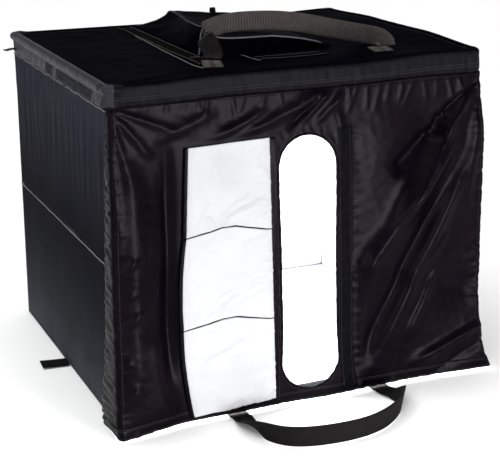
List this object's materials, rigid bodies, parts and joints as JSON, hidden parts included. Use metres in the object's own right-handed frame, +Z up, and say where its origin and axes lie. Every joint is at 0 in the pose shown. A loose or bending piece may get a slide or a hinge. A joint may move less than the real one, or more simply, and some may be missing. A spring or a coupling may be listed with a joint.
{
  "type": "printer enclosure tent",
  "caption": "Folding black fabric enclosure for a desktop 3-D printer, with stiff creased side walls, a hanging front curtain, a rounded window with side flaps, a top hatch and webbing handles.",
  "frame": {"origin": "centre of the underside of the floor, on the surface it stands on", "axes": "+X to the right as seen from the front, -Y out of the front curtain, +Z up"},
  "size_m": [0.864, 0.8505, 0.7198],
  "materials": {
    "black_nylon": "matt woven nylon",
    "curtain_nylon": "soft woven nylon with a low sheen",
    "side_nylon": "coated nylon with a low sheen",
    "seam_piping": "stitched piping",
    "webbing": "ribbed polypropylene webbing",
    "hook_tape": "hook tape",
    "loop_tape": "fuzzy loop tape",
    "lining": "bright white reflective lining",
    "board": "fluted board",
    "rod": "glass-fibre rod",
    "elbow": "moulded plastic"
  },
  "bodies": {
    "base": {"base_cover": "black_nylon", "base_board": "board", "floor_lining": "lining", "base_edge_binding": "black_nylon", "left_bottom_strap": "webbing", "right_bottom_strap": "webbing", "base_handle_root_left": "webbing", "base_handle_root_right": "webbing", "back_wall": "black_nylon", "back_lining": "lining"},
    "left_lower_wall": {"left_lower_cover": "side_nylon", "left_lower_board": "board", "left_lower_lining": "lining", "left_middle_crease_piping": "seam_piping"},
    "left_upper_wall": {"left_upper_cover": "side_nylon", "left_upper_board": "board", "left_upper_lining": "lining", "left_top_seam_piping": "seam_piping"},
    "right_lower_wall": {"right_lower_cover": "side_nylon", "right_lower_board": "board", "right_lower_lining": "lining", "right_middle_crease_piping": "seam_piping"},
    "right_upper_wall": {"right_upper_cover": "side_nylon", "right_upper_board": "board", "right_upper_lining": "lining", "right_top_seam_piping": "seam_piping"},
    "lid": {"lid_rim": "black_nylon", "lid_top_panel": "black_nylon", "lid_ceiling_lining": "lining", "lid_rod_front": "rod", "lid_rod_back": "rod", "lid_rod_left": "rod", "lid_rod_right": "rod", "lid_elbow_front_left": "elbow", "lid_elbow_front_right": "elbow", "lid_elbow_back_left": "elbow", "lid_elbow_back_right": "elbow", "rear_corner_tab": "webbing", "hatch_hook_tape_left": "hook_tape", "hatch_hook_tape_front": "hook_tape", "hatch_border_piping_left": "seam_piping", "hatch_hinge_piping": "seam_piping", "top_handle_patch_left": "webbing", "top_handle_patch_right": "webbing", "curtain_hinge_cord": "seam_piping"},
    "hatch": {"hatch_cover": "black_nylon", "hatch_pull_tab": "webbing"},
    "top_handle": {"top_handle_loop": "webbing"},
    "base_handle": {"base_handle_loop": "webbing"},
    "curtain": {"front_curtain": "curtain_nylon", "front_curtain_lining": "lining", "curtain_hem": "curtain_nylon", "window_hinge_tape": "loop_tape", "window_catch_tape": "loop_tape"},
    "flap_upper": {"window_flap_upper_shell": "curtain_nylon", "window_flap_upper_lining": "lining"},
    "flap_middle": {"window_flap_middle_shell": "curtain_nylon", "window_flap_middle_lining": "lining"},
    "flap_lower": {"window_flap_lower_shell": "curtain_nylon", "window_flap_lower_lining": "lining"}
  },
  "joints": [
    {"name": "side_fold", "type": "hinge", "parent": "base", "child": "left_lower_wall", "pos_m": [-0.3689, 0, 0.01], "axis": [0, 1, 0], "range_deg": [0, 88], "deforming": ["back_wall", "back_lining", "front_curtain", "front_curtain_lining", "curtain_hem", "window_hinge_tape", "window_catch_tape", "window_flap_upper_shell", "window_flap_upper_lining", "window_flap_middle_shell", "window_flap_middle_lining", "window_flap_lower_shell", "window_flap_lower_lining"]},
    {"name": "left_middle_crease", "type": "hinge", "parent": "left_lower_wall", "child": "left_upper_wall", "pos_m": [-0.3773, 0, 0.3038], "axis": [0, 1, 0], "range_deg": [-176, 0]},
    {"name": "left_top_crease", "type": "hinge", "parent": "left_upper_wall", "child": "lid", "pos_m": [-0.3689, 0, 0.5976], "axis": [0, 1, 0], "range_deg": [0, 88]},
    {"name": "right_bottom_crease", "type": "hinge", "parent": "base", "child": "right_lower_wall", "pos_m": [0.3689, 0, 0.01], "axis": [0, 1, 0], "range_deg": [-88, 0]},
    {"name": "right_middle_crease", "type": "hinge", "parent": "right_lower_wall", "child": "right_upper_wall", "pos_m": [0.3773, 0, 0.3038], "axis": [0, 1, 0], "range_deg": [0, 176]},
    {"name": "curtain_swing", "type": "hinge", "parent": "lid", "child": "curtain", "pos_m": [0, -0.321, 0.5985], "axis": [-1, 0, 0], "range_deg": [0, 120]},
    {"name": "hatch_swing", "type": "hinge", "parent": "lid", "child": "hatch", "pos_m": [0.165, 0, 0.638], "axis": [0, 1, 0], "range_deg": [0, 150]},
    {"name": "top_handle_swing", "type": "hinge", "parent": "lid", "child": "top_handle", "pos_m": [0, -0.166, 0.638], "axis": [1, 0, 0], "range_deg": [0, 100]},
    {"name": "base_handle_swing", "type": "hinge", "parent": "base", "child": "base_handle", "pos_m": [0, -0.377, 0.0016], "axis": [-1, 0, 0], "range_deg": [0, 65]},
    {"name": "flap_upper_swing", "type": "hinge", "parent": "curtain", "child": "flap_upper", "pos_m": [-0.074, -0.32559, 0.59885], "axis": [0, 0.0767, 0.9971], "range_deg": [0, 174]},
    {"name": "flap_middle_swing", "type": "hinge", "parent": "curtain", "child": "flap_middle", "pos_m": [-0.074, -0.32559, 0.59885], "axis": [0, 0.0767, 0.9971], "range_deg": [0, 174]},
    {"name": "flap_lower_swing", "type": "hinge", "parent": "curtain", "child": "flap_lower", "pos_m": [-0.074, -0.32559, 0.59885], "axis": [0, 0.0767, 0.9971], "range_deg": [0, 174]}
  ],
  "couplings": [
    {"joint": "left_middle_crease", "follows": "side_fold", "ratio": -2},
    {"joint": "left_top_crease", "follows": "side_fold", "ratio": 1},
    {"joint": "right_bottom_crease", "follows": "side_fold", "ratio": -1},
    {"joint": "right_middle_crease", "follows": "side_fold", "ratio": 2}
  ]
}
